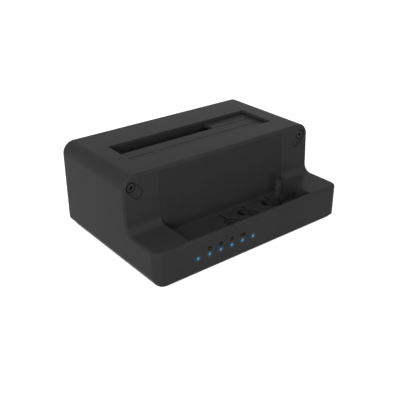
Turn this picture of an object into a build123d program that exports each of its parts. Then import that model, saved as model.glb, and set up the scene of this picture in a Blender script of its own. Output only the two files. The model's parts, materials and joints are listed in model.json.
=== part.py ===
from build123d import *
import math
import os

os.makedirs("parts", exist_ok=True)

# Driving dimensions in millimetres; +Z is up, the front faces -Y, the origin is under the middle of the feet

# Case
foot_stand = 0.8
wall = 2.0
top_radius = 7.5
bottom_radius = 4.0
corner_radius = 5.0
edge_radius = 1.5
rear_radius = 1.0
foot_forward = 1.6
cheek_radius = 5.0
overrun = 1.0

# Drive slot in the top
slot_length = 104.0
slot_width = 26.7
slot_shift = 0.4
slot_side_room = 17.5
slot_front_room = 16.4
slot_rear_room = 23.1
slot_rim_radius = 0.4
small_length = 71.1
small_width = 9.6

# Slot flap and its hinge
flap_thickness = 1.9
flap_drop = 0.3
flap_gap = 0.4
hinge_reach = 1.7
groove_width = 0.5
groove_depth = 0.4
groove_line = 8.2
tab_length = 9.0
tab_inset = 4.0
pin_radius = 0.8
running_gap = 0.05
pin_head_radius = 1.4
pin_head_length = 0.8
spring_wire = 0.5
spring_turns = 7
spring_pitch = 0.75
spring_inset = 12.0
spring_leg = 6.0

# Drive guide under the slot
guide_wall = 1.5
guide_side_room = 1.6
guide_rear_room = 0.2
guide_barrel_room = 0.2
guide_board_gap = 2.0
flap_tip_room = 1.2
guide_rib_height = 3.6
guide_rib_width = 2.0
ear_thickness = 2.0
ear_width = 7.6
guide_boss_length = 6.7

# Pocket between the cheeks
pocket_end_room = 15.15
pocket_side_room = 22.95
card_front_room = 2.4
card_rear_room = 1.6
seam_gap = 0.15
crease_radius = 2.0
cheek_wall_clearance = 0.4

# Keyholes and the post
card_tuck = 2.05
card_lengths = (42.0, 60.0, 80.0)
card_thickness = 0.8
keyhole_turns = (-1, 1, 1)
keyhole_run = 6.3
keyhole_radius = 2.4
keyhole_slot_radius = 1.4
keyhole_recess_radius = 2.9
keyhole_recess_depth = 0.4
post_radius = 2.0
post_height = 15.8
post_collar_radius = 2.4
post_collar_height = 2.6
post_neck_radius = 1.25
post_flange_radius = 2.2
post_flange_height = 1.2
post_chamfer = 0.35
post_play = 0.15

# Screws in the tower's front wall
wall_screw_inset = 5.8
wall_screw_drop = 7.1
wall_recess_radius = 3.5
wall_recess_run = 5.2
wall_recess_depth = 1.1
wall_recess_round = 0.45
sink_radius = 3.0
sink_depth = 1.5
sink_round = 0.3
screw_radius = 1.2
screw_head_radius = 2.4
screw_head_height = 1.4
screw_socket_radius = 1.15
screw_socket_depth = 1.0
screw_grip = 6.0
screw_play = 0.05
screw_tip_room = 0.3
boss_radius = 3.0
pad_radius = 4.4
pad_depth = 3.4

# Front lights
light_count = 6
light_pitch = 8.0
light_inset = 4.35
light_bar_gap = 0.3
light_radius = 0.9
light_play = 0.05
light_bar_depth = 1.2
light_bar_height = 3.2
led_size = 1.6
led_depth = 0.8
led_gap = 0.2
led_board_thickness = 1.0
led_board_margin = 4.0
led_rib_depth = 2.5

# Main board
board_thickness = 1.6
board_height = 12.2
board_side_inset = 13.0
board_front_gap = 1.3
board_rear_gap = 0.6

# SATA receptacle
sata_length = 42.6
sata_depth = 5.8
sata_height = 9.4
sata_inset = 5.0
sata_face_offset = 3.8
sata_slot_width = 1.6
sata_slot_depth = 6.0
sata_data_slot = 10.4
sata_power_slot = 20.6
sata_slot_spacing = 2.6
sata_key = 1.4
sata_pitch = 1.27
data_pin_count = 7
power_pin_count = 15
contact_width = 0.6
contact_thickness = 0.3

# M.2 socket
m2_width = 21.9
m2_length = 8.7
m2_height = 4.2
m2_head_room = 1.7
m2_mouth = 1.4
m2_slot_height = 1.1
m2_slot_width = 20.0
m2_slot_depth = 5.0
m2_pitch = 0.5
m2_contact = 0.22
m2_key_width = 1.2
m2_key_offset = 6.1
m2_window_gap = 0.4

# Ribbon, chips and other parts on the boards
ribbon_width = 10.0
ribbon_thickness = 0.3
ribbon_bend = 2.0
ribbon_socket_depth = 1.8
ribbon_socket_height = 1.6
chip_size = 9.0
chip_height = 0.9
coil_size = 6.0
coil_height = 3.0
capacitor_radius = 3.1
capacitor_height = 6.5

# Rear panel
panel_side_room = 7.5
panel_head_room = 3.0
panel_foot = 5.4
panel_depth = 2.2
panel_radius = 2.0
port_gap = 0.25
usb_offset = 18.0
usb_width = 8.94
usb_height = 3.26
usb_length = 7.4
usb_wall = 0.3
usb_tongue_width = 6.7
usb_tongue_thickness = 0.7
usb_tongue_setback = 0.9
jack_offset = 40.0
jack_width = 9.0
jack_body_length = 11.0
jack_height = 10.8
jack_axis_height = 6.4
jack_nose_radius = 3.9
jack_bore_radius = 2.85
jack_bore_depth = 9.5
jack_pin_radius = 1.05
button_offset = 3.0
button_radius = 2.3
button_proud = 1.2
button_play = 0.2
button_travel = 0.6
button_flange = 0.7
button_flange_height = 1.2
tact_size = 6.2
tact_depth = 3.8
tact_stem_radius = 1.6
tact_stem_length = 2.2
rocker_offset = 34.0
rocker_board_gap = 2.2
rocker_width = 12.6
rocker_span = 8.6
rocker_wall = 1.2
rocker_bezel = 1.0
rocker_bezel_depth = 0.9
rocker_body_depth = 9.0
rocker_play = 0.3
rocker_angle = 5.0
rocker_sink = 0.2
rocker_reach = 2.6
rocker_back = 1.6
rocker_pin_radius = 0.9
rocker_pin_length = 0.9
terminal_width = 2.0
terminal_thickness = 0.6
terminal_reach = 1.5

# Bottom cover, feet and fasteners
cover_inset = 4.4
cover_gap = 0.2
cover_corner = 3.0
foot_radius = 5.0
foot_seat = 0.6
foot_inset_x = 21.0
foot_inset_y = 11.0
case_boss_inset = 7.0
boss_rib = 1.2
case_screw_grip = 10.0
cover_head_seat = 1.3
standoff_radius = 2.8
tray_lug_width = 5.6
tray_lug_height = 2.5
tray_pad_radius = 2.5
tray_head_room = 1.3

# Places worked out from the driving dimensions
pocket_width = card_lengths[-1] - card_tuck + pocket_end_room
case_width = max(slot_length + 2 * slot_side_room, pocket_width + 2 * pocket_side_room)
tower_setback = wall + card_front_room + m2_width + card_rear_room + foot_forward
case_depth = tower_setback + slot_front_room + slot_width + slot_rear_room
flap_reach = hinge_reach + slot_width - flap_gap
slot_depth = wall + flap_drop + flap_thickness + flap_reach + flap_tip_room + guide_rib_height
case_height = board_height + guide_board_gap + guide_wall + slot_depth
ledge_height = board_height + m2_height + m2_head_room + wall
guide_front_room = flap_thickness + guide_barrel_room
case_bottom = foot_stand
case_top = foot_stand + case_height
side_x = case_width / 2
front_y = -case_depth / 2
rear_y = case_depth / 2
ledge_z = case_bottom + ledge_height
top_under = case_top - wall
cover_top = case_bottom + wall
lean_share = foot_forward / (case_top - ledge_z)
lean_angle = math.atan(lean_share)
lean_run = wall / math.cos(lean_angle)


def wall_y(z):
    # The tower's front wall stands further forward at its foot
    return front_y + tower_setback - (case_top - z) * lean_share


slot_left = slot_shift - slot_length / 2
slot_right = slot_shift + slot_length / 2
slot_rear = rear_y - slot_rear_room
slot_front = slot_rear - slot_width
small_right = slot_left + small_length
small_front = slot_rear - small_width

flap_top = top_under - flap_drop
hinge_y = slot_front - hinge_reach
hinge_z = flap_top - flap_thickness
guide_left = slot_left - guide_side_room
guide_right = slot_right + guide_side_room
guide_front = hinge_y - guide_front_room
guide_rear = slot_rear + guide_rear_room
guide_floor = case_top - slot_depth
guide_under = guide_floor - guide_wall

pocket_side = pocket_width / 2
pocket_front = front_y + wall
pocket_rear = wall_y(top_under) + lean_run
floor_z = case_bottom + board_height
floor_under = floor_z - wall
recess_z = floor_z - keyhole_recess_depth
card_y = pocket_front + card_front_room + m2_width / 2
card_datum = -pocket_side - card_tuck
post_foot = card_datum + card_lengths[-1]

board_top = case_bottom + board_height
board_under = board_top - board_thickness
board_side = side_x - board_side_inset
board_front = pocket_rear + board_front_gap
board_rear = rear_y - panel_depth - wall - board_rear_gap
arm_front = pocket_front + board_rear_gap
arm_inner = -pocket_side - wall - cover_gap
cheek_foot = cover_top + cheek_wall_clearance

panel_y = rear_y - panel_depth
panel_inner = panel_y - wall
panel_bottom = case_bottom + panel_foot
switch_width = rocker_width + 2 * rocker_wall
switch_span = rocker_span + 2 * rocker_wall
rocker_z = board_top + rocker_board_gap + switch_span / 2
panel_width = 2 * (jack_offset + jack_width / 2 + panel_side_room)
panel_height = rocker_z + switch_span / 2 + rocker_bezel + panel_head_room - panel_bottom
panel_centre_z = panel_bottom + panel_height / 2

wall_screw_x = side_x - wall_screw_inset
wall_screw_z = case_top - wall_screw_drop
wall_face = Plane(
    origin=(0, wall_y(ledge_z), ledge_z),
    x_dir=(1, 0, 0),
    z_dir=(0, -math.cos(lean_angle), math.sin(lean_angle)),
)
sink_floor_y = wall_y(wall_screw_z) + wall_recess_depth + sink_depth
pad_rear = wall_y(wall_screw_z) + pad_depth
boss_x = side_x - wall - case_boss_inset
boss_front_y = front_y + wall + case_boss_inset
boss_rear_y = rear_y - wall - case_boss_inset
boss_places = [(x, y) for x in (-boss_x, boss_x) for y in (boss_front_y, boss_rear_y)]
foot_x = side_x - foot_inset_x
foot_y = rear_y - foot_inset_y
standoff_x = board_side - standoff_radius - screw_radius
standoff_front = board_front + standoff_radius + screw_radius
standoff_rear = board_rear - standoff_radius - screw_radius
standoff_places = [(x, y) for x in (-standoff_x, standoff_x) for y in (standoff_front, standoff_rear)]
lug_x = pocket_side - tray_pad_radius - screw_radius
lug_ys = (card_y - tray_lug_width, card_y + tray_lug_width)
lug_places = [(x, y) for x in (-lug_x, lug_x) for y in lug_ys]
tray_pad_height = floor_under - cover_top - tray_lug_height - screw_head_height - tray_head_room
light_z = floor_under - light_bar_gap - light_bar_height / 2
light_xs = [light_inset - pocket_side + step * light_pitch for step in range(light_count)]
guide_screw_xs = (guide_left - guide_wall - ear_width / 2, guide_right + guide_wall + ear_width / 2)
guide_screw_y = (slot_front + slot_rear) / 2 + tab_length / 2
guide_ear_z = top_under - guide_boss_length
sata_left = slot_left + sata_inset
sata_y = slot_rear - sata_face_offset
sata_top = board_top + sata_height
m2_front = card_datum + m2_slot_depth - m2_mouth
m2_rear = m2_front - m2_length
m2_slot_z = recess_z + post_collar_height + card_thickness / 2
usb_place = usb_offset
jack_place = jack_offset
button_place = -button_offset
rocker_place = -rocker_offset
usb_z = board_top + usb_height / 2
jack_z = board_top + jack_axis_height
button_z = board_top + tact_size / 2
button_face = panel_y + button_proud
button_foot = panel_inner - button_play - button_flange_height
spring_left = slot_left + spring_inset
spring_length = spring_turns * spring_pitch
spring_right = spring_left + spring_wire + spring_length
room_left = spring_left - spring_pitch
room_right = spring_right + spring_pitch + flap_gap
spring_rest = guide_front_room * 2 / 3
coil_radius = pin_radius + spring_wire
led_board_front = pocket_front + light_bar_depth + led_gap + led_depth
led_board_rear = led_board_front + led_board_thickness
led_board_top = light_z + led_size
ribbon_z = (cover_top + floor_under) / 2


def case_form(inset):
    # The case's outline drawn in by inset; the end view runs front to back and the step is cut across it
    with BuildPart() as form:
        with BuildSketch(Plane.XZ.offset(inset - rear_y)):
            with Locations((0, (case_bottom + case_top) / 2)):
                Rectangle(case_width - 2 * inset, case_height - 2 * inset)
            fillet(vertices().group_by(Axis.Y)[-1], top_radius - inset)
            fillet(vertices().group_by(Axis.Y)[0], bottom_radius - inset)
        extrude(amount=case_depth - 2 * inset)
        with BuildSketch(Plane.XY.offset(case_bottom)):
            Rectangle(case_width - 2 * inset, case_depth - 2 * inset)
            fillet(vertices().group_by(Axis.Y)[0], corner_radius - inset)
        extrude(amount=case_height, mode=Mode.INTERSECT)
        drawn_in = inset / math.cos(lean_angle)
        step_z = ledge_z - inset
        with BuildSketch(Plane.YZ):
            with BuildLine():
                Polyline(
                    (front_y - overrun, step_z),
                    (wall_y(step_z) + drawn_in, step_z),
                    (wall_y(case_top + overrun) + drawn_in, case_top + overrun),
                    (front_y - overrun, case_top + overrun),
                    close=True,
                )
            make_face()
            fillet(vertices().group_by(Axis.Y)[0].sort_by(Axis.X)[-1], cheek_radius + inset)
        extrude(amount=case_width, both=True, mode=Mode.SUBTRACT)
    return form


def rounded_form():
    # The outside of the case, its step and its rear edges rounded
    form = case_form(0)
    step_edges = form.edges(Select.LAST)
    inner_lines = step_edges.filter_by(Axis.X).sort_by(Axis.Y)[1:-1]
    with form:
        fillet([edge for edge in step_edges if edge not in inner_lines], edge_radius)
        fillet(form.faces().sort_by(Axis.Y)[-1].edges(), rear_radius)
    return form.part


# Case, one moulding with the tower, the base and the cheeks
with BuildPart() as case_shell:
    add(rounded_form())
    add(case_form(wall).part, mode=Mode.SUBTRACT)
    with BuildSketch(Plane.XY.offset(case_bottom)):
        Rectangle(case_width - 2 * cover_inset, case_depth - 2 * cover_inset)
        fillet(vertices(), cover_corner)
    extrude(amount=wall, mode=Mode.SUBTRACT)
    with BuildSketch(Plane.XY.offset(top_under)):
        with Locations((slot_shift, (slot_front + slot_rear) / 2)):
            Rectangle(slot_length, slot_width)
    extrude(amount=wall, mode=Mode.SUBTRACT)
    fillet(edges(Select.LAST).group_by(Axis.Z)[-1], slot_rim_radius)
    with BuildSketch(Plane.XY.offset(floor_under)):
        with Locations((0, (pocket_front + pocket_rear) / 2)):
            Rectangle(pocket_width, pocket_rear - pocket_front)
    extrude(amount=top_under - floor_under, mode=Mode.SUBTRACT)
    # Inner walls of the cheeks, with the lugs that hold the tray
    with BuildSketch(Plane.XY.offset(cheek_foot)):
        for side in (-1, 1):
            with Locations((side * (pocket_side + wall / 2), (pocket_front - wall / 2 + pocket_rear) / 2)):
                Rectangle(wall, pocket_rear - pocket_front + wall / 2)
    extrude(amount=ledge_z - wall / 2 - cheek_foot)
    with BuildSketch(Plane.XY.offset(floor_under - tray_pad_height)):
        for x, y in lug_places:
            with Locations((math.copysign((lug_x - tray_pad_radius + pocket_side + wall / 2) / 2, x), y)):
                Rectangle(pocket_side + wall / 2 - lug_x + tray_pad_radius, tray_lug_width)
    extrude(amount=-tray_lug_height)
    with BuildSketch(Plane.XY.offset(floor_under - tray_pad_height)):
        with Locations(*lug_places):
            Circle(screw_radius + screw_play)
    extrude(amount=-tray_lug_height, mode=Mode.SUBTRACT)
    with BuildSketch(Plane.YZ.offset(-pocket_side - wall)):
        with Locations((card_y, board_top + m2_height / 2)):
            Rectangle(m2_width + 2 * m2_window_gap, m2_height + 2 * m2_window_gap)
    extrude(amount=wall, mode=Mode.SUBTRACT)
    # Screw columns for the bottom cover, tied to the side walls by ribs
    with BuildSketch(Plane.XY.offset(cover_top)):
        with Locations(*[place for place in boss_places if place[1] < 0]):
            Circle(boss_radius)
    extrude(amount=ledge_z - wall / 2 - cover_top)
    with BuildSketch(Plane.XY.offset(cover_top)):
        with Locations(*[place for place in boss_places if place[1] > 0]):
            Circle(boss_radius)
    extrude(amount=case_top - wall / 2 - cover_top)
    with BuildSketch(Plane.XY.offset(cover_top + cheek_wall_clearance)):
        for x, y in boss_places:
            with Locations((math.copysign((boss_x + side_x - wall / 2) / 2, x), y)):
                Rectangle(side_x - wall / 2 - boss_x, boss_rib)
    extrude(amount=ledge_z - wall / 2 - cover_top - cheek_wall_clearance)
    with BuildSketch(Plane.XY.offset(cover_top)):
        with Locations(*boss_places):
            Circle(screw_radius + screw_play)
    extrude(amount=case_screw_grip, mode=Mode.SUBTRACT)
    # Columns under the top for the drive guide
    with BuildSketch(Plane.XY.offset(guide_ear_z)):
        with Locations(*[(x, guide_screw_y) for x in guide_screw_xs]):
            Circle(boss_radius)
    extrude(amount=guide_boss_length + wall / 2)
    with BuildSketch(Plane.XY.offset(guide_ear_z)):
        with Locations(*[(x, guide_screw_y) for x in guide_screw_xs]):
            Circle(screw_radius + screw_play)
    extrude(amount=guide_boss_length, mode=Mode.SUBTRACT)
    # Sunk screw places in the tower's front wall, each with a pad behind it
    with BuildSketch(Plane.XZ.offset(-pad_rear)):
        with Locations((-wall_screw_x, wall_screw_z), (wall_screw_x, wall_screw_z)):
            Circle(pad_radius)
    extrude(amount=pad_depth - wall / 2)
    wall_screw_rise = (wall_screw_z - ledge_z) / math.cos(lean_angle)
    half_step = wall_recess_run / 2 * math.cos(math.radians(45))
    for side in (-1, 1):
        with BuildSketch(wall_face):
            with Locations((side * (wall_screw_x - half_step), wall_screw_rise - half_step)):
                SlotCenterToCenter(wall_recess_run, 2 * wall_recess_radius, rotation=45 * side)
        extrude(amount=-wall_recess_depth, mode=Mode.SUBTRACT)
        rim = [e for e in edges(Select.LAST) if abs(wall_face.to_local_coords(e.center()).Z) < seam_gap]
        fillet(rim, wall_recess_round)
        with BuildSketch(Plane.XZ.offset(-sink_floor_y)):
            with Locations((side * wall_screw_x, wall_screw_z)):
                Circle(sink_radius)
        extrude(amount=sink_depth + wall_recess_depth, mode=Mode.SUBTRACT)
        fillet(edges(Select.LAST).group_by(Axis.Y)[0], sink_round)
    with BuildSketch(Plane.XZ.offset(-pad_rear)):
        with Locations((-wall_screw_x, wall_screw_z), (wall_screw_x, wall_screw_z)):
            Circle(screw_radius + screw_play)
    extrude(amount=pad_depth, mode=Mode.SUBTRACT)
    # Holes for the lights
    with BuildSketch(Plane.XZ.offset(-pocket_front)):
        with Locations(*[(x, light_z) for x in light_xs]):
            Circle(light_radius + light_play)
    extrude(amount=wall, mode=Mode.SUBTRACT)
    # Sunk panel at the rear with the holes for the sockets, the button and the switch
    with BuildSketch(Plane.XZ.offset(-panel_inner)):
        with Locations((0, panel_centre_z)):
            Rectangle(panel_width + 2 * wall, panel_height + 2 * wall)
    extrude(amount=-(wall + panel_depth - wall / 2))
    with BuildSketch(Plane.XZ.offset(-rear_y)):
        with Locations((0, panel_centre_z)):
            RectangleRounded(panel_width, panel_height, panel_radius)
    extrude(amount=panel_depth, mode=Mode.SUBTRACT)
    with BuildSketch(Plane.XZ.offset(-panel_y)):
        with Locations((usb_place, usb_z)):
            SlotOverall(usb_width + 2 * port_gap, usb_height + 2 * port_gap)
        with Locations((jack_place, jack_z)):
            Circle(jack_nose_radius + port_gap)
        with Locations((button_place, button_z)):
            Circle(button_radius + button_play)
        with Locations((rocker_place, rocker_z)):
            Rectangle(switch_width + 2 * port_gap, switch_span + 2 * port_gap)
    extrude(amount=wall, mode=Mode.SUBTRACT)
case_shell.part.label = "case_shell"
export_step(case_shell.part, "parts/case_shell.step")

# Bottom cover with the board's standoffs and the light board's holders
led_rib_xs = (light_xs[0] + light_pitch / 2, light_xs[-1] - light_pitch / 2)
with BuildPart() as bottom_cover:
    with BuildSketch(Plane.XY.offset(case_bottom)):
        Rectangle(case_width - 2 * cover_inset - 2 * cover_gap, case_depth - 2 * cover_inset - 2 * cover_gap)
        fillet(vertices(), cover_corner)
    extrude(amount=wall)
    with BuildSketch(Plane.XY.offset(cover_top)):
        with Locations(*standoff_places):
            Circle(standoff_radius)
        with Locations((arm_inner - standoff_radius, card_y)):
            Circle(standoff_radius)
    extrude(amount=board_under - cover_top)
    with BuildSketch(Plane.XY.offset(board_under)):
        with Locations(*standoff_places):
            Circle(screw_radius + screw_play)
    extrude(amount=-screw_grip, mode=Mode.SUBTRACT)
    with BuildSketch(Plane.XY.offset(cover_top)):
        with Locations(*[(x, led_board_rear + led_rib_depth / 2) for x in led_rib_xs]):
            Rectangle(boss_rib, led_rib_depth)
    extrude(amount=led_board_top - cover_top)
    with BuildSketch(Plane.XY.offset(case_bottom)):
        with Locations((-foot_x, -foot_y), (foot_x, -foot_y), (-foot_x, foot_y), (foot_x, foot_y)):
            Circle(foot_radius + cover_gap / 2)
    extrude(amount=foot_seat, mode=Mode.SUBTRACT)
    with BuildSketch(Plane.XY.offset(case_bottom)):
        with Locations(*boss_places):
            Circle(screw_head_radius + cover_gap)
    extrude(amount=cover_head_seat, mode=Mode.SUBTRACT)
    with BuildSketch(Plane.XY.offset(case_bottom)):
        with Locations(*boss_places):
            Circle(screw_radius + cover_gap)
    extrude(amount=wall, mode=Mode.SUBTRACT)
bottom_cover.part.label = "bottom_cover"
export_step(bottom_cover.part, "parts/bottom_cover.step")

# Rubber feet
with BuildPart() as rubber_feet:
    with BuildSketch():
        with Locations((-foot_x, -foot_y), (foot_x, -foot_y), (-foot_x, foot_y), (foot_x, foot_y)):
            Circle(foot_radius)
    extrude(amount=foot_stand + foot_seat)
    fillet(edges().group_by(Axis.Z)[0], foot_stand / 2)
rubber_feet.part.label = "rubber_feet"
export_step(rubber_feet.part, "parts/rubber_feet.step")

# Tray between the cheeks: pocket floor and the middle of the tower's front wall in one bent sheet
tray_front = pocket_front + seam_gap
with BuildPart() as centre_tray:
    with BuildSketch(Plane.YZ.offset(-pocket_side + seam_gap)):
        with BuildLine():
            Polyline(
                (tray_front, floor_z),
                (wall_y(floor_z), floor_z),
                (wall_y(top_under), top_under),
                (wall_y(top_under) + lean_run, top_under),
                (wall_y(floor_under) + lean_run, floor_under),
                (tray_front, floor_under),
                close=True,
            )
        make_face()
        inside_corner = vertices().sort_by_distance((wall_y(floor_z), floor_z))[0]
        outside_corner = vertices().sort_by_distance((wall_y(floor_under) + lean_run, floor_under))[0]
        fillet(inside_corner, crease_radius)
        fillet(outside_corner, crease_radius + wall)
    extrude(amount=pocket_width - 2 * seam_gap)
    # Relief round the card socket
    with BuildSketch(Plane.XY.offset(floor_z)):
        with Locations(((m2_front - pocket_side) / 2, card_y)):
            Rectangle(m2_front + pocket_side + 2 * m2_window_gap, m2_width + 2 * m2_window_gap)
    extrude(amount=m2_height + m2_window_gap, mode=Mode.SUBTRACT)
    with BuildSketch(Plane.XY.offset(floor_under)):
        with Locations(*lug_places):
            Circle(tray_pad_radius)
    extrude(amount=-tray_pad_height)
    with BuildSketch(Plane.XY.offset(floor_under - tray_pad_height)):
        with Locations(*lug_places):
            Circle(screw_radius + screw_play)
    extrude(amount=tray_pad_height, mode=Mode.SUBTRACT)
    for length, turn in zip(card_lengths, keyhole_turns):
        step = turn * keyhole_run * math.cos(math.radians(45))
        narrow = (card_datum + length, card_y)
        wide = (narrow[0] - step, narrow[1] + step)
        middle = ((narrow[0] + wide[0]) / 2, (narrow[1] + wide[1]) / 2)
        with BuildSketch(Plane.XY.offset(floor_z)):
            with Locations(middle):
                SlotCenterToCenter(keyhole_run, 2 * keyhole_recess_radius, rotation=-45)
        extrude(amount=-keyhole_recess_depth, mode=Mode.SUBTRACT)
        with BuildSketch(Plane.XY.offset(floor_z)):
            with Locations(middle):
                SlotCenterToCenter(keyhole_run, 2 * keyhole_slot_radius, rotation=-45)
            with Locations(wide):
                Circle(keyhole_radius)
        extrude(amount=-wall, mode=Mode.SUBTRACT)
centre_tray.part.label = "centre_tray"
export_step(centre_tray.part, "parts/centre_tray.step")

# Post that holds the far end of a card, turned about its own axis
with BuildPart() as m2_post:
    with BuildSketch(Plane.XZ.offset(-card_y)):
        with BuildLine():
            Polyline(
                (post_foot, floor_under - post_play - post_flange_height),
                (post_foot + post_flange_radius, floor_under - post_play - post_flange_height),
                (post_foot + post_flange_radius, floor_under - post_play),
                (post_foot + post_neck_radius, floor_under - post_play),
                (post_foot + post_neck_radius, recess_z + screw_play),
                (post_foot + post_collar_radius, recess_z + screw_play),
                (post_foot + post_collar_radius, recess_z + post_collar_height),
                (post_foot + post_radius, recess_z + post_collar_height),
                (post_foot + post_radius, floor_z + post_height),
                (post_foot, floor_z + post_height),
                close=True,
            )
        make_face()
    revolve(axis=Axis((post_foot, card_y, 0), (0, 0, 1)))
    chamfer(edges().group_by(Axis.Z)[-1], post_chamfer)
m2_post.part.label = "m2_post"
export_step(m2_post.part, "parts/m2_post.step")

# Guide under the slot: walls, floor with the receptacle's window, ribs that centre a drive, and screw ears
guide_x = (guide_left + guide_right) / 2
guide_y = (guide_front + guide_rear) / 2
with BuildPart() as drive_guide:
    with BuildSketch(Plane.XY.offset(guide_under)):
        with Locations((guide_x, guide_y)):
            Rectangle(guide_right - guide_left + 2 * guide_wall, guide_rear - guide_front + 2 * guide_wall)
    extrude(amount=top_under - guide_under)
    with BuildSketch(Plane.XY.offset(guide_floor)):
        with Locations((guide_x, guide_y)):
            Rectangle(guide_right - guide_left, guide_rear - guide_front)
    extrude(amount=top_under - guide_floor, mode=Mode.SUBTRACT)
    with BuildSketch(Plane.XY.offset(guide_under)):
        with Locations((sata_left + sata_length / 2, sata_y)):
            Rectangle(sata_length + 2 * port_gap, sata_depth + 2 * port_gap)
    extrude(amount=guide_wall, mode=Mode.SUBTRACT)
    with BuildSketch(Plane.XY.offset(guide_floor)):
        for y in (slot_front + slot_width / 4, slot_rear - slot_width / 4):
            with Locations(((guide_left + slot_left) / 2 - guide_wall / 2, y)):
                Rectangle(slot_left - guide_left + guide_wall, guide_rib_width)
            with Locations(((guide_right + slot_right) / 2 + guide_wall / 2, y)):
                Rectangle(guide_right - slot_right + guide_wall, guide_rib_width)
        for x in (slot_left + slot_length / 4, slot_shift, slot_right - slot_length / 4):
            with Locations((x, (guide_front + slot_front - guide_wall) / 2)):
                Rectangle(guide_rib_width, slot_front - guide_front + guide_wall)
    extrude(amount=guide_rib_height)
    # Rest for the spring's fixed leg
    with BuildSketch(Plane.XY.offset(hinge_z - coil_radius - spring_wire / 2)):
        with Locations((spring_left + spring_wire, guide_front + (spring_rest - guide_wall / 2) / 2)):
            Rectangle(guide_rib_width, spring_rest + guide_wall / 2)
    extrude(amount=-guide_wall)
    # Front ears reach the tower's front wall, side ears hang from the columns under the top
    with BuildSketch(Plane.XZ.offset(-(guide_front - guide_wall + ear_thickness))):
        with Locations(((guide_right + guide_wall + wall_screw_x) / 2, wall_screw_z)):
            Rectangle(wall_screw_x - guide_right - guide_wall + overrun, 2 * boss_radius)
        with Locations(((guide_left - guide_wall - wall_screw_x) / 2, wall_screw_z)):
            Rectangle(wall_screw_x + guide_left - guide_wall + overrun, 2 * boss_radius)
        with Locations((-wall_screw_x, wall_screw_z), (wall_screw_x, wall_screw_z)):
            Circle(boss_radius)
    extrude(amount=ear_thickness)
    with BuildSketch(Plane.XZ.offset(-(guide_front - guide_wall))):
        with Locations((-wall_screw_x, wall_screw_z), (wall_screw_x, wall_screw_z)):
            Circle(boss_radius)
    extrude(amount=guide_front - guide_wall - pad_rear)
    with BuildSketch(Plane.XZ.offset(-pad_rear)):
        with Locations((-wall_screw_x, wall_screw_z), (wall_screw_x, wall_screw_z)):
            Circle(screw_radius + screw_play)
    extrude(amount=-screw_grip, mode=Mode.SUBTRACT)
    with BuildSketch(Plane.XY.offset(guide_ear_z)):
        for x, edge in zip(guide_screw_xs, (guide_left - guide_wall / 2, guide_right + guide_wall / 2)):
            with Locations(((x + edge) / 2, guide_screw_y)):
                Rectangle(abs(edge - x), ear_width)
            with Locations((x, guide_screw_y)):
                Circle(ear_width / 2)
    extrude(amount=-ear_thickness)
    with BuildSketch(Plane.XY.offset(guide_ear_z)):
        with Locations(*[(x, guide_screw_y) for x in guide_screw_xs]):
            Circle(screw_radius + screw_play)
    extrude(amount=-ear_thickness, mode=Mode.SUBTRACT)
    with BuildSketch(Plane.YZ.offset(guide_left - guide_wall)):
        with Locations((hinge_y, hinge_z)):
            Circle(pin_radius + running_gap)
    extrude(amount=guide_right - guide_left + 2 * guide_wall, mode=Mode.SUBTRACT)
drive_guide.part.label = "drive_guide"
export_step(drive_guide.part, "parts/drive_guide.step")

# L-shaped flap that leaves the small drive's opening free, with its hinge barrel and two stop tabs
flap_left = slot_left + flap_gap
flap_right = slot_right - flap_gap
flap_rear = slot_rear - flap_gap
with BuildPart() as slot_flap:
    with BuildSketch(Plane.XY.offset(hinge_z)):
        with BuildLine():
            Polyline(
                (flap_left, hinge_y),
                (flap_right, hinge_y),
                (flap_right, flap_rear),
                (small_right, flap_rear),
                (small_right, small_front),
                (flap_left, small_front),
                close=True,
            )
        make_face()
    extrude(amount=flap_thickness)
    with BuildSketch(Plane.YZ.offset(flap_left)):
        with Locations((hinge_y, hinge_z)):
            Circle(flap_thickness)
    extrude(amount=flap_right - flap_left)
    with BuildSketch(Plane.YZ.offset(room_left)):
        with Locations((hinge_y, hinge_z)):
            Rectangle(2 * flap_thickness + flap_gap, 2 * flap_thickness + flap_gap)
    extrude(amount=room_right - room_left, mode=Mode.SUBTRACT)
    with BuildSketch(Plane.YZ.offset(flap_left)):
        with Locations((hinge_y, hinge_z)):
            Circle(pin_radius + running_gap)
    extrude(amount=flap_right - flap_left, mode=Mode.SUBTRACT)
    # Stop tabs under the slot's ends, each with a pad that meets the underside of the top
    with BuildSketch(Plane.XY.offset(hinge_z)):
        with Locations((slot_right, slot_rear - tab_inset - tab_length / 2)):
            Rectangle(2 * guide_side_room - 2 * flap_gap, tab_length)
        with Locations((slot_left, small_front - tab_inset - tab_length / 2)):
            Rectangle(2 * guide_side_room - 2 * flap_gap, tab_length)
    extrude(amount=flap_thickness)
    with BuildSketch(Plane.XY.offset(flap_top)):
        with Locations((slot_right + guide_side_room / 2, slot_rear - tab_inset - tab_length / 2)):
            Rectangle(guide_side_room / 2, tab_length / 2)
        with Locations((slot_left - guide_side_room / 2, small_front - tab_inset - tab_length / 2)):
            Rectangle(guide_side_room / 2, tab_length / 2)
    extrude(amount=flap_drop)
    # Rest for the spring's moving leg, then the two grooves in the top face
    with BuildSketch(Plane.XY.offset(hinge_z)):
        with Locations((spring_right + spring_wire, hinge_y + spring_leg - guide_rib_width / 2)):
            Rectangle(guide_rib_width, guide_rib_width)
    extrude(amount=spring_wire / 2 - coil_radius)
    with BuildSketch(Plane.XY.offset(flap_top)):
        with Locations((slot_shift, small_front - groove_line)):
            Rectangle(slot_length, groove_width)
        with Locations(((small_right + flap_right) / 2, small_front)):
            Rectangle(flap_right - small_right, groove_width)
    extrude(amount=-groove_depth, mode=Mode.SUBTRACT)
slot_flap.part.label = "slot_flap"
export_step(slot_flap.part, "parts/slot_flap.step")

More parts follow.
